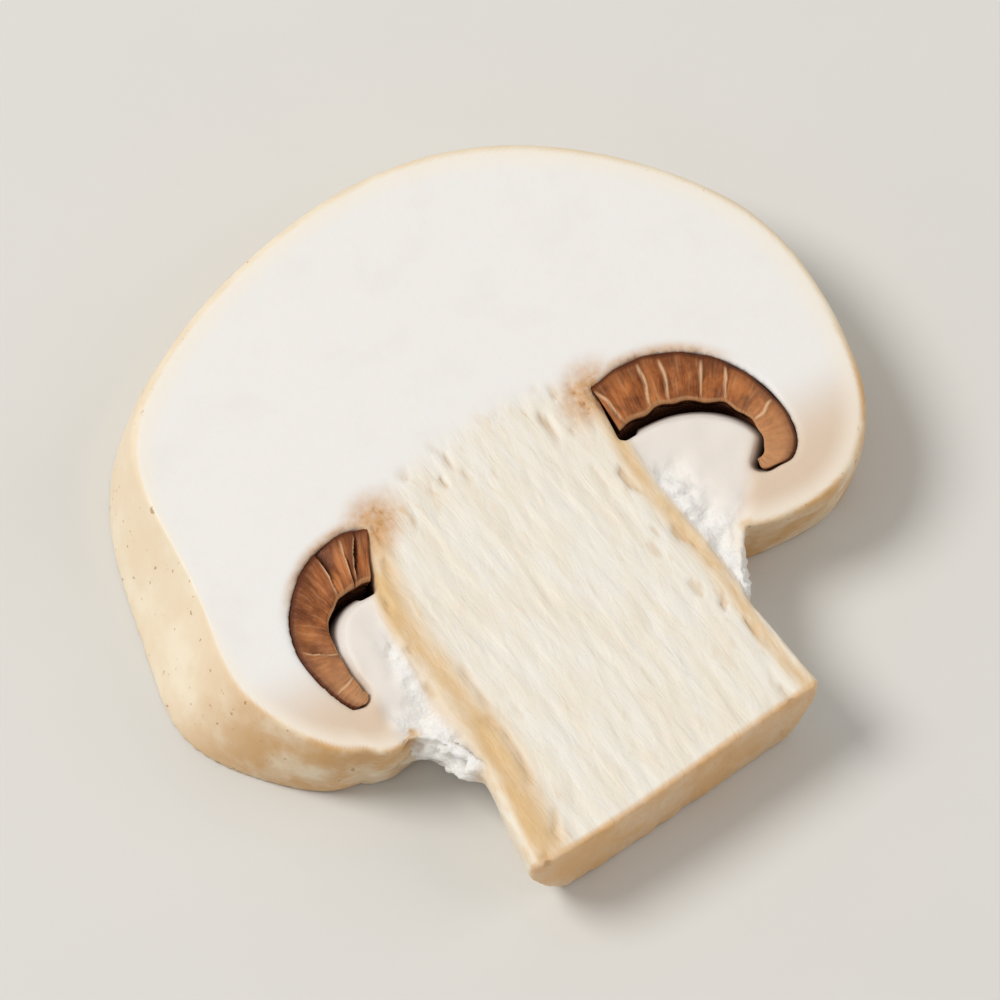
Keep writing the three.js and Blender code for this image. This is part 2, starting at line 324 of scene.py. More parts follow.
across, along, through = straightened(points)
radius = np.hypot(across, through)
cut_gap = np.minimum(np.abs(points[:, 2] - UPPER_CUT), np.abs(points[:, 2] - LOWER_CUT))
on_cut = ramp(cut_gap, *CUT_FACE)
skin_gap = distance_to(skin_outline, radius, along)
roof_gap = distance_to(roof_outline, radius, along)
hollow_gap = distance_to(veil_outline + tip_outline, radius, along)
hollow_gap = np.minimum(hollow_gap, distance_to(neck_outline, radius, along))
stem_gap = distance_to(stem_outline, radius, along)
stem_radius = np.interp(along, (STEM_BASE, COLLAR_END), (BASE_RADIUS, STEM_RADIUS))
half_stem = np.sqrt(np.maximum(stem_radius**2 - through**2, 0))
stem_edge_gap = np.abs(half_stem - np.abs(across))

skin = ramp(skin_gap, SKIN_DEPTH + SKIN_BLUR, SKIN_DEPTH - SKIN_BLUR)
rim = ramp(skin_gap, RIM_DEPTH, SKIN_DEPTH) * on_cut
lower = ramp(along, *LOWER_CAP)
# Painted shade: the chamber's walls deep in the hollow, away from the cut faces, are coloured near
# black.
roof_shade = ramp(roof_gap, *CHAMBER_SHADE_DEPTH) * ramp(cut_gap, *ROOF_SHADE_FROM_CUT)
veil_shade = ramp(hollow_gap, *CHAMBER_SHADE_DEPTH) * ramp(cut_gap, *VEIL_SHADE_FROM_CUT)
chamber_shade = np.maximum(roof_shade, veil_shade)
bark = ramp(stem_gap, *BARK_DEPTH) * ramp(along, *BARK_TOP)
base = ramp(along, *BASE_FACE)
crown = STEM_CROWN - STEM_CROWN_CURVE * across**2
stem = ramp(along - crown, *CROWN_FADE) * ramp(np.abs(across) - half_stem, *STEM_SIDE)
worn = np.maximum(ramp(stem_edge_gap, *WORN_SIDE), ramp(along - crown, *WORN_CROWN)) * stem
tuck_cover = np.where(across < 0, LEFT_TUCK_COVER, 0)
lobe_side = np.interp(along, LOBE_SIDE_HEIGHTS, LOBE_SIDE_RADII)
lobe_side += tuck_cover * ramp(along, TAIL_BOTTOM, TUCK_HEIGHT)
veil = ramp(radius, *VEIL_STEM_SIDE)
veil *= ramp(radius, lobe_side + VEIL_LOBE_OVERLAP, lobe_side - VEIL_LOBE_FADE)
veil *= ramp(along, *VEIL_TOP) * ramp(along, *VEIL_END)
torn_edge = ramp(radius, *TORN_BESIDE_STEM) * ramp(along, *TORN_TOP)
tatter = veil * np.maximum(torn_edge, ramp(along, *TATTER_TOP))
stripe_width = np.where(across < 0, LEFT_STRIPE, RIGHT_STRIPE)
stripe = ramp(stem_edge_gap / stripe_width, *STRIPE_FADE) * ramp(along, *STRIPE_TOP)
stripe *= 1 - STRIPE_PALING + STRIPE_PALING * ramp(stem_edge_gap, *STRIPE_PALE_EDGE)
root_stain = ramp(np.hypot(np.abs(across) - STAIN_RADIUS, along - STAIN_HEIGHT), *STAIN_FADE)
roof_stain = ROOF_STAIN_SHARE * ramp(roof_gap, *ROOF_STAIN_FADE) * ramp(along, *ROOF_STAIN_TOP)
stain = np.maximum(root_stain, roof_stain) * on_cut

# Relief of the flesh. Torn fibres groove the stem, the veil is lumpy and sunken where the knife dragged
# it, and the skin is finely dented. On the cut faces relief only goes inwards, so the slice lies flat.
GROOVE_DEPTH = 0.34
GROOVE_LEVEL = 0.12
GROOVE_LIMIT = 0.5
PIT_DEPTH = 0.3
PIT_EDGE = (0.32, 0.6)
CRUMB_DEPTH = 0.1
CRUMB_EDGE = (0.15, 0.5)
RIPPLE_DEPTH = 0.03
VEIL_SINK = 0.12
VEIL_LUMPS = 0.1
TATTER_SINK = 0.35
TATTER_LUMPS = 0.9
FRINGE_LUMPS = 0.8
SKIN_DENTS = 0.07
BARK_RIDGES = 0.1
BASE_PITS = 0.06
SWELLING = 0.5
SWELLING_DEPTH = (0.45, 0.2)
SWELLING_BESIDE_STEM = (STEM_RADIUS - 0.2, STEM_RADIUS + 0.6)
SWELLING_FROM_CUT = (0.3, 1.6)


def noise_at(places, scale, seed):
    """Smooth noise from about -1 to 1 at each place, with its own scale along each direction."""
    scaled = places * np.array(scale) + seed
    return np.array([noise.noise(Vector(place)) for place in scaled])


fibres = 0.55 * noise_at(points, (1.5, 0.2, 0.3), 11.3)
fibres += 0.45 * noise_at(points, (2.8, 0.5, 0.5), 27.1)
torn = noise_at(points, (0.5, 0.3, 0.3), 41.7)
groove = stem * np.clip(GROOVE_LEVEL - fibres, 0, GROOVE_LIMIT) * (0.7 + 0.6 * torn)
pits = ramp(noise_at(points, (1.7, 0.55, 0.6), 63.5), *PIT_EDGE) * worn
crumbs = ramp(noise_at(points, (1.5, 1.5, 1.5), 71.9), *CRUMB_EDGE) * stain
lumps = noise_at(points, (0.65, 0.65, 0.65), 5.9)
fluff = noise_at(points, (1.9, 1.9, 1.9), 8.4)
cotton = 0.6 * lumps + 0.4 * fluff
ripple = noise_at(points, (0.16, 0.07, 0.2), 3.3)
dents = noise_at(points, (0.3, 0.3, 0.3), 17.2)
inwards = GROOVE_DEPTH * groove + PIT_DEPTH * pits + CRUMB_DEPTH * crumbs
inwards += RIPPLE_DEPTH * (ripple + 1)
inwards += veil * (VEIL_SINK + VEIL_LUMPS * lumps)
inwards += tatter * np.maximum(TATTER_SINK + TATTER_LUMPS * cotton, 0)
swelling = ramp(hollow_gap, *SWELLING_DEPTH) * ramp(radius, *SWELLING_BESIDE_STEM)
swelling *= ramp(cut_gap, *SWELLING_FROM_CUT)
sideways = SKIN_DENTS * dents + BARK_RIDGES * bark * fibres
sideways += FRINGE_LUMPS * tatter * cotton + SWELLING * swelling
push = (1 - on_cut) * sideways - BASE_PITS * base * np.abs(fluff) - on_cut * np.maximum(inwards, 0)
moved = points + normals * push[:, None]

# Uneven growth. No mushroom is quite round: this one leans and waves, and its lower half is turned
# a little. The cut is tilted, the left side is slanted above and full below, and the left lobe is
# pinched outwards and up.
LEAN = 1.4
WAVE = 0.22
WAVE_ACROSS = 0.21
WAVE_ALONG = 0.33
TILT = 1.4
TILT_START = -36.0
LOWER_TURN = 0.04
TURN_LEFT_END = -10.0
TURN_START = -6.0
TURN_END = -14.0
LEFT_FROM = 15
LEFT_INWARDS = 0.9
LEFT_SLANT = 3.0
LEFT_FULLNESS = 2.0
LEFT_FULL_AT = -7.0
LEFT_FULL_WIDTH = 6.0
PINCH = 2.0
PINCH_AT = -13.5
PINCH_WIDTH = 2.4
PINCH_START = -7.0
PINCH_END = -12.5
LOBE_LIFT = 1.3
LOBE_LIFT_AT = -15.2
LOBE_LIFT_WIDTH = 2.6


def grow_naturally(places):
    """The same places on the mushroom as it grew and was cut, no longer quite round and even."""
    x, y, z = places.T
    lean = LEAN * (np.maximum(0, y) / CAP_TOP) ** 2
    depth = (UPPER_CUT - z) / SLICE_THICKNESS
    left = np.maximum(0, -x - LEFT_FROM) / (CAP_RADIUS - LEFT_FROM)
    fullness = LEFT_FULLNESS * np.exp(-(((y - LEFT_FULL_AT) / LEFT_FULL_WIDTH) ** 2))
    slant = (LEFT_INWARDS + LEFT_SLANT * (1 - depth) - fullness) * left * left
    tilt = TILT * depth * ramp(y, TILT_START, MARGIN_BOTTOM)
    turn = LOWER_TURN * np.maximum(x, TURN_LEFT_END) * ramp(y, TURN_START, TURN_END)
    low_share = ramp(y, PINCH_START, PINCH_END)
    pinch = PINCH * np.exp(-(((x - PINCH_AT) / PINCH_WIDTH) ** 2)) * low_share
    lobe_lift = LOBE_LIFT * np.exp(-(((x - LOBE_LIFT_AT) / LOBE_LIFT_WIDTH) ** 2)) * low_share
    return np.column_stack((
        x + lean + slant - pinch + WAVE * np.sin(y * WAVE_ALONG),
        y + tilt + turn + lobe_lift + WAVE * np.sin(x * WAVE_ACROSS),
        z,
    ))


low, high = (np.array(corner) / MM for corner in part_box("cap_and_stem"))
plain = grow_naturally(points)
to_frame = (low + high) / 2 - (plain.min(axis=0) + plain.max(axis=0)) / 2
for vertex, place in zip(fine_flesh.verts, (grow_naturally(moved) + to_frame) * MM):
    vertex.co = place


def finished_piece(name, mesh, material):
    """Makes a bmesh into a smooth-shaded object in the scene."""
    data = bpy.data.meshes.new(name)
    mesh.to_mesh(data)
    mesh.free()
    data.shade_smooth()
    data.materials.append(material)
    piece = bpy.data.objects.new(name, data)
    bpy.context.collection.objects.link(piece)
    return piece


# Flesh material. Raw mushroom flesh is ivory white, moist and slightly see-through, with tan fibres
# in the stem, a warm pale rim under the skin, and cream skin mottled with tan and brown specks. The skin
# turns
# darker tan towards the bottom of the cap: partly its own tan, partly painted shade on the lower wall.
FLESH_WHITE = (0.86, 0.845, 0.82, 1)
FLESH_GREY = (0.83, 0.81, 0.78, 1)
RIM_CREAM = (0.90, 0.83, 0.72, 1)
LOBE_BLUSH = (0.71, 0.54, 0.39, 1)
STEM_IVORY = (0.86, 0.82, 0.74, 1)
STEM_CREAM = (0.85, 0.78, 0.66, 1)
STEM_TAN = (0.74, 0.51, 0.26, 1)
BASE_TAN = (0.74, 0.45, 0.21, 1)
STAIN_TAN = (0.62, 0.34, 0.14, 1)
STAIN_DARK = (0.30, 0.14, 0.05, 1)
PIT_TAN = (0.60, 0.42, 0.24, 1)
VEIL_BLUSH = (0.82, 0.76, 0.70, 1)
VEIL_WHITE = (0.88, 0.86, 0.83, 1)
SKIN_CREAM = (0.88, 0.78, 0.61, 1)
SKIN_TAN = (0.65, 0.37, 0.14, 1)
SKIN_SPECK = (0.36, 0.19, 0.07, 1)
# Painted shade for the walls of the gill chamber.
CHAMBER_SHADE_DARK = (0.06, 0.022, 0.010, 1)
FLESH_BUMP = 0.25
LIGHT_REACH = 1.0


class Finish:
    """A procedural material with its shader, and short ways to add the nodes it needs."""

    def __init__(self, name):
        self.material = bpy.data.materials.new(name)
        self.material.use_nodes = True
        self.nodes = self.material.node_tree.nodes
        self.links = self.material.node_tree.links
        self.shader = self.nodes["Principled BSDF"]
        self.object_place = self.nodes.new("ShaderNodeTexCoord").outputs["Object"]

    def mask(self, name):
        node = self.nodes.new("ShaderNodeAttribute")
        node.attribute_name = name
        return node.outputs["Fac"]

    def speckle(self, per_mm, detail=4.0, roughness=0.55, distortion=0.0):
        """Noise from 0 to 1 with its own count of spots per millimetre in each direction."""
        mapping = self.nodes.new("ShaderNodeMapping")
        mapping.inputs["Scale"].default_value = tuple(value / MM for value in per_mm)
        texture = self.nodes.new("ShaderNodeTexNoise")
        texture.inputs["Scale"].default_value = 1.0
        texture.inputs["Detail"].default_value = detail
        texture.inputs["Roughness"].default_value = roughness
        texture.inputs["Distortion"].default_value = distortion
        self.links.new(self.object_place, mapping.inputs["Vector"])
        self.links.new(mapping.outputs["Vector"], texture.inputs["Vector"])
        return texture.outputs["Fac"]

    def ramp(self, value, low, high, start=0.0, end=1.0):
        node = self.nodes.new("ShaderNodeMapRange")
        node.interpolation_type = "SMOOTHSTEP"
        self.links.new(value, node.inputs["Value"])
        node.inputs["From Min"].default_value = low
        node.inputs["From Max"].default_value = high
        node.inputs["To Min"].default_value = start
        node.inputs["To Max"].default_value = end
        return node.outputs["Result"]

    def times(self, first, second):
        node = self.nodes.new("ShaderNodeMath")
        node.operation = "MULTIPLY"
        for socket, value in zip(node.inputs, (first, second)):
            if isinstance(value, float):
                socket.default_value = value
            else:
                self.links.new(value, socket)
        return node.outputs["Value"]

    def plus(self, first, second):
        node = self.nodes.new("ShaderNodeMath")
        self.links.new(first, node.inputs[0])
        self.links.new(second, node.inputs[1])
        return node.outputs["Value"]

    def blend(self, share, first, second):
        """First colour where share is 0 and second where it is 1."""
        node = self.nodes.new("ShaderNodeMix")
        node.data_type = "RGBA"
        self.links.new(share, node.inputs["Factor"])
        for socket, value in ((node.inputs[6], first), (node.inputs[7], second)):
            if isinstance(value, tuple):
                socket.default_value = value
            else:
                self.links.new(value, socket)
        return node.outputs[2]

    def bump(self, height, depth_mm):
        node = self.nodes.new("ShaderNodeBump")
        node.inputs["Strength"].default_value = 1.0
        node.inputs["Distance"].default_value = depth_mm * MM
        self.links.new(height, node.inputs["Height"])
        self.links.new(node.outputs["Normal"], self.shader.inputs["Normal"])

    def set(self, **values):
        for name, value in values.items():
            self.shader.inputs[name.replace("_", " ")].default_value = value

    def drive(self, name, socket):
        self.links.new(socket, self.shader.inputs[name])


def flesh_material():
    finish = Finish("raw_mushroom_flesh")
    mottle = finish.speckle((0.3, 0.3, 0.3), 5.0)
    streak = finish.speckle((1.9, 0.5, 1.0), 4.0, 0.5, 0.6)
    band = finish.speckle((0.8, 0.22, 0.6), 3.0, 0.5, 0.4)
    patch = finish.speckle((0.34, 0.16, 0.28), 4.0, 0.6)
    pore = finish.speckle((1.7, 1.7, 1.7), 3.0, 0.5)
    blotch = finish.speckle((2.0, 2.0, 2.0), 4.0, 0.55)
    colour = finish.blend(finish.ramp(mottle, 0.45, 0.8), FLESH_WHITE, FLESH_GREY)
    # The flesh turns tan towards the bottom of the cap.
    colour = finish.blend(finish.ramp(finish.mask("lower"), 0.4, 1.0, 0.0, 0.9), colour, LOBE_BLUSH)
    colour = finish.blend(finish.times(finish.mask("rim"), 0.75), colour, RIM_CREAM)
    stem_colour = finish.blend(finish.ramp(band, 0.35, 0.7), STEM_IVORY, STEM_CREAM)
    colour = finish.blend(finish.mask("stem"), colour, stem_colour)
    streak_share = finish.times(
        finish.ramp(streak, 0.54, 0.8), finish.ramp(finish.mask("worn"), 0.0, 1.0, 0.2, 0.6),
    )
    colour = finish.blend(finish.times(streak_share, finish.mask("stem")), colour, STEM_TAN)
    colour = finish.blend(finish.times(finish.mask("pits"), 0.7), colour, PIT_TAN)
    stripe_share = finish.times(finish.mask("stripe"), finish.ramp(patch, 0.3, 0.56, 0.5, 1.0))
    colour = finish.blend(stripe_share, colour, STEM_TAN)
    stain_share = finish.times(finish.mask("stain"), finish.ramp(blotch, 0.3, 0.65, 0.65, 1.0))
    colour = finish.blend(stain_share, colour, STAIN_TAN)
    speck_share = finish.times(
        finish.ramp(finish.mask("stain"), 0.5, 1.0), finish.ramp(blotch, 0.58, 0.68, 0.0, 0.6),
    )
    colour = finish.blend(speck_share, colour, STAIN_DARK)
    veil_colour = finish.blend(finish.mask("tatter"), VEIL_BLUSH, VEIL_WHITE)
    colour = finish.blend(finish.mask("veil"), colour, veil_colour)
    bark_colour = finish.blend(finish.ramp(streak, 0.35, 0.75, 0.0, 0.6), STEM_CREAM, STEM_TAN)
    colour = finish.blend(finish.mask("bark"), colour, bark_colour)
    base_share = finish.times(finish.mask("base"), finish.ramp(patch, 0.3, 0.65, 0.6, 1.0))
    colour = finish.blend(base_share, colour, BASE_TAN)
    # Skin darker tan towards the bottom of the cap: partly its own tan, partly painted shade on the
    # lower wall.
    tan_share = finish.times(
        finish.ramp(finish.mask("lower"), 0.0, 1.0, 0.25, 0.95), finish.ramp(mottle, 0.25, 0.62),
    )
    skin_colour = finish.blend(tan_share, SKIN_CREAM, SKIN_TAN)
    skin_colour = finish.blend(finish.ramp(pore, 0.66, 0.72, 0.0, 0.7), skin_colour, SKIN_SPECK)
    colour = finish.blend(finish.mask("skin"), colour, skin_colour)
    # Painted shade inside the gill chamber: its walls turn a near-black brown.
    colour = finish.blend(finish.mask("chamber_shade"), colour, CHAMBER_SHADE_DARK)
    finish.drive("Base Color", colour)
    finish.drive("Roughness", finish.ramp(mottle, 0.3, 0.8, 0.48, 0.62))
    height = finish.plus(
        finish.times(streak, finish.ramp(finish.mask("stem"), 0.0, 1.0, 0.05, 0.5)),
        finish.times(pore, finish.ramp(finish.mask("tatter"), 0.0, 1.0, 0.04, 1.0)),
    )
    finish.bump(height, FLESH_BUMP)
    finish.set(
        Subsurface_Weight=0.25, Subsurface_Radius=(1.0, 0.85, 0.68), Subsurface_Scale=LIGHT_REACH * MM,
        Specular_IOR_Level=0.35,
    )
    return finish.material


cap_and_stem = finished_piece("mushroom_flesh", fine_flesh, flesh_material())
zones = {
    "skin": skin, "rim": rim, "lower": lower, "chamber_shade": chamber_shade, "stem": stem, "worn": worn, "veil": veil,
    "tatter": tatter, "bark": bark, "base": base, "stripe": stripe, "stain": stain, "pits": pits,
}
for zone, values in zones.items():
    attribute = cap_and_stem.data.attributes.new(zone, "FLOAT", "POINT")
    attribute.data.foreach_set("value", np.clip(values, 0, 1))
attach(cap_and_stem, "root")
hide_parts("cap_and_stem")

# Gills. Thin brown blades grown from the chamber's roof, standing radially to the stem like pages of a
# book. Long blades run from the stem to the hooked tail, and short ones stand between them further out.
# At both cuts the knife has pressed the moist blades together into a bed.
GILL_CLEARANCE = 0.16
EDGE_TOP_RADIUS = 10.3
EDGE_TOP = -3.0
EDGE_OUTER_RADIUS = 14.85
EDGE_OUTER_HEIGHT = -6.8
TIP_RADIUS = 13.7
TIP_HEIGHT = -9.3
MAIN_SHARE = 0.7
ROOT_DEGREES = 108
ROOF_HOOK_DEGREES = 100
EDGE_HOOK_DEGREES = 88
TIP_BULGE = 0.5
TIP_BULGE_FROM = 0.86
ROOT_SPREAD = 9.6
TIP_SPREAD = 19.5
ROOT_SINK = 0.16
BLADE_GRID = (36, 4)
BLADE_THICKNESS = 0.15
BLADE_WAVE = 0.1
BLADE_WAVES = 9
BLADE_PITCH = 2.2
BLADE_SWAY = 0.3
FIRST_BLADE = -10.6
LAST_BLADE = 27.6
SHORT_START = 0.34
SHORT_SCATTER = (-0.1, 0.16)
SHORT_HEIGHT = 0.25
SHORT_GROWTH = 5
BLADE_SINK = 1.0
FULL_TURN = 6.3
BED_GRID = (220, 14)
BED_SINK = 0.12
BED_THICKNESS = 0.95
BED_FROM = -0.08
BED_SWELL = 0.09
BED_FRAY = 0.09
BED_ROOT_FRAY = 0.05
ROUND_RATE = 8
EDGE_ROUND = 0.25
ROOT_ROUND = 0.2
LINE_HEIGHT = 0.1
LINE_WIDTH = 0.008
LINE_BEND = 0.012
LINE_SWAY = 0.4
LINE_SLANT = 0.04
LINE_STRENGTHS = (0.1, 0.2, 0.9, 1.0)
LINE_SPACING = (0.4, 0.9)
LINE_LIMIT = 0.95
LINE_REACH = 0.1
DIP_MIDDLE = (0.25, 0.75)
DIP_WIDTH = 0.32
DIP_FADE = (0.8, 0.4)
GILL_BROWN = (0.46, 0.145, 0.036, 1)
GILL_DARK = (0.10, 0.024, 0.006, 1)
GILL_GOLD = (0.52, 0.185, 0.055, 1)
GILL_TAN = (0.64, 0.33, 0.155, 1)
GILL_CREAM = (0.74, 0.47, 0.27, 1)
GILL_BUMP = 0.16

BladeLine = namedtuple("BladeLine", "place strength slant dip_middle")


def gill_section(share, width):
    """Point of the half section: share runs from stem to tail, width from the roof to the free edge."""
    if share < MAIN_SHARE:
        angle = math.radians(ROOT_DEGREES * (1 - share / MAIN_SHARE))
        roof = (
            CHAMBER_TOP_RADIUS
            + (CHAMBER_OUTER_RADIUS - CHAMBER_TOP_RADIUS - GILL_CLEARANCE) * math.cos(angle),
            CHAMBER_OUTER_HEIGHT
            + (CHAMBER_TOP - CHAMBER_OUTER_HEIGHT - GILL_CLEARANCE) * math.sin(angle),
        )
        edge = (
            EDGE_TOP_RADIUS + (EDGE_OUTER_RADIUS - EDGE_TOP_RADIUS) * math.cos(angle),
            EDGE_OUTER_HEIGHT + (EDGE_TOP - EDGE_OUTER_HEIGHT) * math.sin(angle),
        )
    else:
        tail = (share - MAIN_SHARE) / (1 - MAIN_SHARE)
        angle = math.radians(ROOF_HOOK_DEGREES * tail)
        roof = (
            TAIL_RADIUS + (CHAMBER_OUTER_RADIUS - TAIL_RADIUS - GILL_CLEARANCE) * math.cos(angle),
            CHAMBER_OUTER_HEIGHT
            - (CHAMBER_OUTER_HEIGHT - TAIL_BOTTOM - GILL_CLEARANCE) * math.sin(angle),
        )
        angle = math.radians(EDGE_HOOK_DEGREES * tail)
        edge = (
            TIP_RADIUS + (EDGE_OUTER_RADIUS - TIP_RADIUS) * math.cos(angle),
            EDGE_OUTER_HEIGHT - (EDGE_OUTER_HEIGHT - TIP_HEIGHT) * math.sin(angle),
        )
    section = Vector(roof).lerp(Vector(edge), width)
    round_end = TIP_BULGE * math.sin(math.pi * min(max(width, 0), 1))
    round_end *= float(ramp(share, TIP_BULGE_FROM, 1))
    section.x += round_end * math.cos(math.radians(HOOK_DEGREES))
    section.y += round_end * math.sin(math.radians(HOOK_DEGREES))
    return section


def gill_place(side, share, width, depth):
    """Point in space at a place of the gill section and a height through the slice."""
    section = gill_section(share, width)
    sway, rise = bend_at(section.x, section.y)
    return side * math.sqrt(max(section.x**2 - (depth - rise) ** 2, 0)) + sway, section.y, depth


def thick_sheet(x_segments, y_segments):
    """A closed flat sheet from 0 to 1 each way, with the layers that the gill material reads."""
    sheet = bmesh.new()
    for layer in ("across", "tail", "tone", "depth", "line"):
        sheet.verts.layers.float.new(layer)
    bmesh.ops.create_grid(sheet, x_segments=x_segments, y_segments=y_segments, size=0.5)
    raised = bmesh.ops.extrude_face_region(sheet, geom=sheet.faces[:])["geom"]
    upper = [part for part in raised if isinstance(part, bmesh.types.BMVert)]
    bmesh.ops.translate(sheet, vec=(0, 0, 1), verts=upper)
    bmesh.ops.translate(sheet, vec=(0.5, 0.5, 0), verts=sheet.verts)
    return sheet


def set_layers(sheet, vertex, values):
    for layer, value in values.items():
        vertex[sheet.verts.layers.float[layer]] = value


def join_into(mesh, sheet):
    bmesh.ops.recalc_face_normals(sheet, faces=sheet.faces)
    part = bpy.data.meshes.new("sheet")
    sheet.to_mesh(part)
    sheet.free()
    mesh.from_mesh(part)
    bpy.data.meshes.remove(part)


def add_blade(mesh, side, degrees, start, tone, phase):
    """Adds one gill blade: a flat strip bent to the gill section, clipped a little inside both cuts."""
    blade = thick_sheet(*BLADE_GRID)
    slope = math.tan(math.radians(degrees))
    for vertex in blade.verts:
        share = start + (1 - start) * vertex.co.x
        width = vertex.co.y * (1 + ROOT_SINK) - ROOT_SINK
        growth = min(1, (share - start) * SHORT_GROWTH + SHORT_HEIGHT) if start > 0 else 1
        spread = ROOT_SPREAD + (TIP_SPREAD - ROOT_SPREAD) * share
        wave = BLADE_WAVE * width * math.sin(BLADE_WAVES * share + phase)
        depth = slope * spread + wave + (vertex.co.z - 0.5) * BLADE_THICKNESS
        below = min(UPPER_CUT - depth, depth - LOWER_CUT)
        # The depth layer is how far below the nearest cut; the gill material darkens it as painted
        # shade.
        set_layers(blade, vertex, {"across": max(width, 0), "tail": share, "tone": tone, "depth": below})
        vertex.co = gill_place(side, share, width * growth, depth)
    for level, outwards in ((UPPER_CUT - BLADE_SINK, 1), (LOWER_CUT + BLADE_SINK, -1)):
        geometry = blade.verts[:] + blade.edges[:] + blade.faces[:]
        bmesh.ops.bisect_plane(
            blade, geom=geometry, plane_co=(0, 0, level), plane_no=(0, 0, outwards), clear_outer=True,
        )
        bmesh.ops.holes_fill(blade, edges=[edge for edge in blade.edges if edge.is_boundary], sides=0)
    join_into(mesh, blade)


def blade_lines(level, draw):
    """The blades that come up through one cut, each a line across the bed with a dip before it."""
    lines = []
    degrees = FIRST_BLADE
    while degrees < LAST_BLADE:
        spread = level / math.tan(math.radians(degrees + draw.uniform(-LINE_SWAY, LINE_SWAY)))
        place = (spread - ROOT_SPREAD) / (TIP_SPREAD - ROOT_SPREAD)
        strength = draw.choice(LINE_STRENGTHS)
        slant = draw.uniform(-LINE_SLANT, LINE_SLANT)
        lines.append(BladeLine(place, strength, slant, dip_middle=draw.uniform(*DIP_MIDDLE)))
        degrees += BLADE_PITCH * draw.uniform(*LINE_SPACING)
    return [line for line in lines if 0 < line.place < LINE_LIMIT]


def ridge_and_dip(lines, share, width, seed):
    """How high a blade stands at a place of the bed, and how deep the bed dips before the next blade."""
    bend = LINE_BEND * noise.noise((2.5 * width, 6 * share, seed))
    gaps = [(share - line.place - line.slant * (width - 0.5) - bend, line) for line in lines]
    ridge = max(line.strength * math.exp(-(gap / LINE_WIDTH) ** 2) for gap, line in gaps)
    since = min((gap for gap, _ in gaps if gap >= 0), default=LINE_REACH)
    ahead = [(-gap, line) for gap, line in gaps if gap < 0]
    until, following = min(ahead, default=(LINE_REACH, lines[-1]))
    dip = following.strength * (since / (since + until)) ** 2
    dip *= math.exp(-(((width - following.dip_middle) / DIP_WIDTH) ** 2))
    return ridge, dip * float(ramp(share, *DIP_FADE))


def add_bed(mesh, side, level, outwards, recess, draw):
    """Adds the gills pressed together at one cut: a brown sheet with a fine ridge along each blade."""
    bed = thick_sheet(*BED_GRID)
    lines = blade_lines(level, draw)
    seed = draw.uniform(0, 50)
    for vertex in bed.verts:
        share = vertex.co.x
        width = BED_FROM + vertex.co.y * (1 - BED_FROM)
        inside = math.sin(math.pi * min(max(width, 0), 1)) ** 0.6
        ridge, dip = ridge_and_dip(lines, share, width, seed)
        rounding = EDGE_ROUND * max(0, 1 - ROUND_RATE * (1 - width)) ** 2
        rounding += ROOT_ROUND * max(0, 1 - ROUND_RATE * (width - BED_FROM)) ** 2
        swell = BED_SWELL * noise.noise((9 * share, 1.5 * width, seed + 7)) * inside
        below = BED_SINK + recess * dip + rounding + swell - LINE_HEIGHT * ridge * inside
        depth = level - outwards * (below + BED_THICKNESS * (1 - vertex.co.z))
        # Painted shade: the bed's dips, its rounded edges and its underside below the top are marked
        # darker.
        shade = recess * dip + 0.2 * rounding + BED_THICKNESS * (1 - vertex.co.z)
        layers = {"across": width, "tail": share, "tone": recess, "depth": shade, "line": ridge * inside}
        set_layers(bed, vertex, layers)
        frayed = BED_FRAY * noise.noise((11 * share, 0, seed + 3)) * width
        frayed += BED_ROOT_FRAY * noise.noise((17 * share, 0, seed + 5)) * (1 - vertex.co.y)
        vertex.co = gill_place(side, share, width + frayed, depth)
    join_into(mesh, bed)


def gill_fan(side, seed, recess):
    """All the blades of one side, long and short in turn, with the beds between them at both cuts."""
    draw = random.Random(seed)
    fan = bmesh.new()
    degrees = FIRST_BLADE
    while degrees < LAST_BLADE:
        place = degrees + draw.uniform(-BLADE_SWAY, BLADE_SWAY)
        add_blade(fan, side, place, 0, draw.random(), draw.uniform(0, FULL_TURN))
        place = degrees + BLADE_PITCH / 2 + draw.uniform(-BLADE_SWAY, BLADE_SWAY)
        start = SHORT_START + draw.uniform(*SHORT_SCATTER)
        add_blade(fan, side, place, start, draw.random(), draw.uniform(0, FULL_TURN))
        degrees += BLADE_PITCH
    add_bed(fan, side, UPPER_CUT, 1, recess, draw)
    add_bed(fan, side, LOWER_CUT, -1, recess, draw)
    places = grow_naturally(np.array([vertex.co[:] for vertex in fan.verts]))
    for vertex, place in zip(fan.verts, (places + to_frame) * MM):
        vertex.co = place
    return fan


def blade_stripes(finish, per_length, per_width):
    """Noise drawn out along the blades, with its own count of stripes over the gill section."""
    along_blades = finish.nodes.new("ShaderNodeCombineXYZ")
    finish.links.new(finish.times(finish.mask("tail"), per_length), along_blades.inputs["X"])
    finish.links.new(finish.times(finish.mask("across"), per_width), along_blades.inputs["Y"])
    finish.links.new(finish.mask("tone"), along_blades.inputs["Z"])
    stripes = finish.nodes.new("ShaderNodeTexNoise")
    stripes.inputs["Scale"].default_value = 1.0
    stripes.inputs["Detail"].default_value = 3.0
    finish.links.new(along_blades.outputs["Vector"], stripes.inputs["Vector"])
    return stripes.outputs["Fac"]


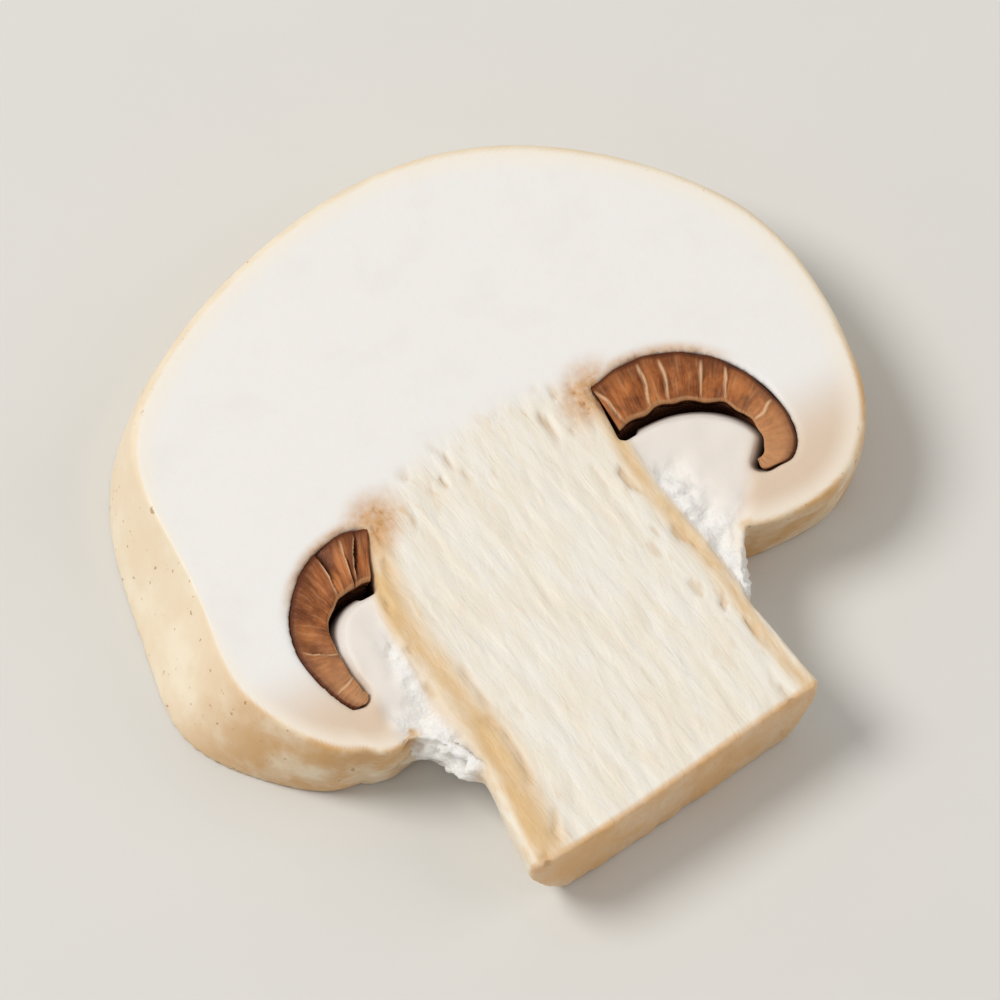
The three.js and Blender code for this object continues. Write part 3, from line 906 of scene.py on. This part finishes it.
def gill_material():
    finish = Finish("gill_tissue")
    grain = finish.speckle((0.9, 0.9, 0.9), 5.0, 0.6)
    fine = finish.speckle((4.0, 4.0, 4.0), 3.0)
    stripe = blade_stripes(finish, 60.0, 1.5)
    band = blade_stripes(finish, 16.0, 0.9)
    colour = finish.blend(finish.ramp(grain, 0.4, 0.7, 0.0, 0.6), GILL_BROWN, GILL_DARK)
    colour = finish.blend(finish.ramp(finish.mask("tone"), 0.1, 0.8, 0.0, 0.3), colour, GILL_DARK)
    colour = finish.blend(finish.ramp(band, 0.5, 0.66, 0.0, 0.9), colour, GILL_GOLD)
    colour = finish.blend(finish.ramp(band, 0.47, 0.34, 0.0, 0.6), colour, GILL_DARK)
    colour = finish.blend(finish.ramp(stripe, 0.52, 0.72, 0.0, 0.3), colour, GILL_TAN)
    colour = finish.blend(finish.ramp(stripe, 0.48, 0.3, 0.0, 0.4), colour, GILL_DARK)
    colour = finish.blend(finish.ramp(finish.mask("tail"), 0.45, 0.95, 0.0, 0.65), colour, GILL_TAN)
    colour = finish.blend(finish.ramp(finish.mask("across"), 0.9, 0.97, 0.0, 0.8), colour, GILL_TAN)
    # Painted shade: the gills darken towards their root at the cap flesh.
    colour = finish.blend(finish.ramp(finish.mask("across"), 0.4, 0.0, 0.0, 0.55), colour, GILL_DARK)
    colour = finish.blend(finish.ramp(finish.mask("line"), 0.1, 0.8, 0.0, 0.85), colour, GILL_CREAM)
    # Painted shade: a dark line along the gills' root, where they meet the cap flesh in a groove.
    colour = finish.blend(finish.ramp(finish.mask("across"), 0.06, -0.02, 0.0, 0.85), colour, GILL_DARK)
    # Painted shade: the gills darken deeper below the cut faces, in the bed's dips and along its rounded
    # edges.
    colour = finish.blend(finish.ramp(finish.mask("depth"), 0.04, 0.4, 0.0, 0.95), colour, GILL_DARK)
    finish.drive("Base Color", colour)
    finish.drive("Roughness", finish.ramp(grain, 0.3, 0.7, 0.42, 0.62))
    finish.bump(finish.plus(stripe, finish.times(fine, 0.3)), GILL_BUMP)
    finish.set(Specular_IOR_Level=0.25)
    return finish.material


gill_tissue = gill_material()
for name, side, seed, recess in (("gills_right", 1, 12, 0.3), ("gills_left", -1, 31, 0.8)):
    gills = finished_piece(name + "_blades", gill_fan(side, seed, recess), gill_tissue)
    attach(gills, "root")
    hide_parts(name)

# Floor, light and camera. A pale matt floor and large soft lamps, seen from the photograph's side and
# height, with a long lens, because the photograph shows almost no perspective in the slice. Sizes and
# distances of this section are in metres.
FLOOR_PALE = (0.74, 0.73, 0.70, 1)
FLOOR_SHADE = (0.70, 0.69, 0.66, 1)
FLOOR_SIZE = 1.5
LAMP_WHITE = (1.0, 0.98, 0.95)
ROOM_WHITE = (1.0, 0.99, 0.97, 1)
ROOM_LIGHT = 0.43
AZIMUTH = -33.4
ELEVATION = 61.3
CAMERA_DISTANCE = 0.7
FIELD_WIDTH = 0.058
SENSOR = 36.0
NEAR_LIMIT = 0.01


def floor_material():
    finish = Finish("pale_floor")
    finish.drive("Base Color", finish.blend(finish.speckle((0.05, 0.05, 0.05)), FLOOR_PALE, FLOOR_SHADE))
    finish.set(Roughness=0.8, Specular_IOR_Level=0.2)
    return finish.material


floor_mesh = bmesh.new()
bmesh.ops.create_grid(floor_mesh, x_segments=2, y_segments=2, size=FLOOR_SIZE)
floor = finished_piece("floor", floor_mesh, floor_material())

middle = Vector((np.array(cad_box[0]) + np.array(cad_box[1])) / 2)


def aim(target, place):
    """Turns a lamp or camera at a place towards the target."""
    return (target - place).to_track_quat("-Z", "Y").to_euler()


def soft_lamp(name, offset, size, watts):
    light = bpy.data.lights.new(name, "AREA")
    light.shape = "DISK"
    light.size = size
    light.energy = watts
    light.color = LAMP_WHITE
    lamp = bpy.data.objects.new(name, light)
    lamp.location = middle + Vector(offset)
    lamp.rotation_euler = aim(middle, lamp.location)
    bpy.context.collection.objects.link(lamp)


soft_lamp("key_lamp", offset=(-0.45, 0.35, 0.72), size=0.45, watts=5.5)
soft_lamp("fill_lamp", offset=(0.55, -0.35, 0.5), size=0.6, watts=1.1)

world = bpy.data.worlds.new("studio")
world.use_nodes = True
background = world.node_tree.nodes["Background"]
background.inputs["Color"].default_value = ROOM_WHITE
background.inputs["Strength"].default_value = ROOM_LIGHT
scene = bpy.context.scene
scene.world = world
scene.view_settings.view_transform = "Standard"

lens = bpy.data.cameras.new("camera")
lens.sensor_width = SENSOR
lens.lens = SENSOR * CAMERA_DISTANCE / FIELD_WIDTH
lens.clip_start = NEAR_LIMIT
camera = bpy.data.objects.new("camera", lens)
turn = math.radians(AZIMUTH)
rise = math.radians(ELEVATION)
outward = Vector((math.sin(turn) * math.cos(rise), -math.cos(turn) * math.cos(rise), math.sin(rise)))
camera.location = middle + outward * CAMERA_DISTANCE
camera.rotation_euler = aim(middle, camera.location)
bpy.context.collection.objects.link(camera)
scene.camera = camera
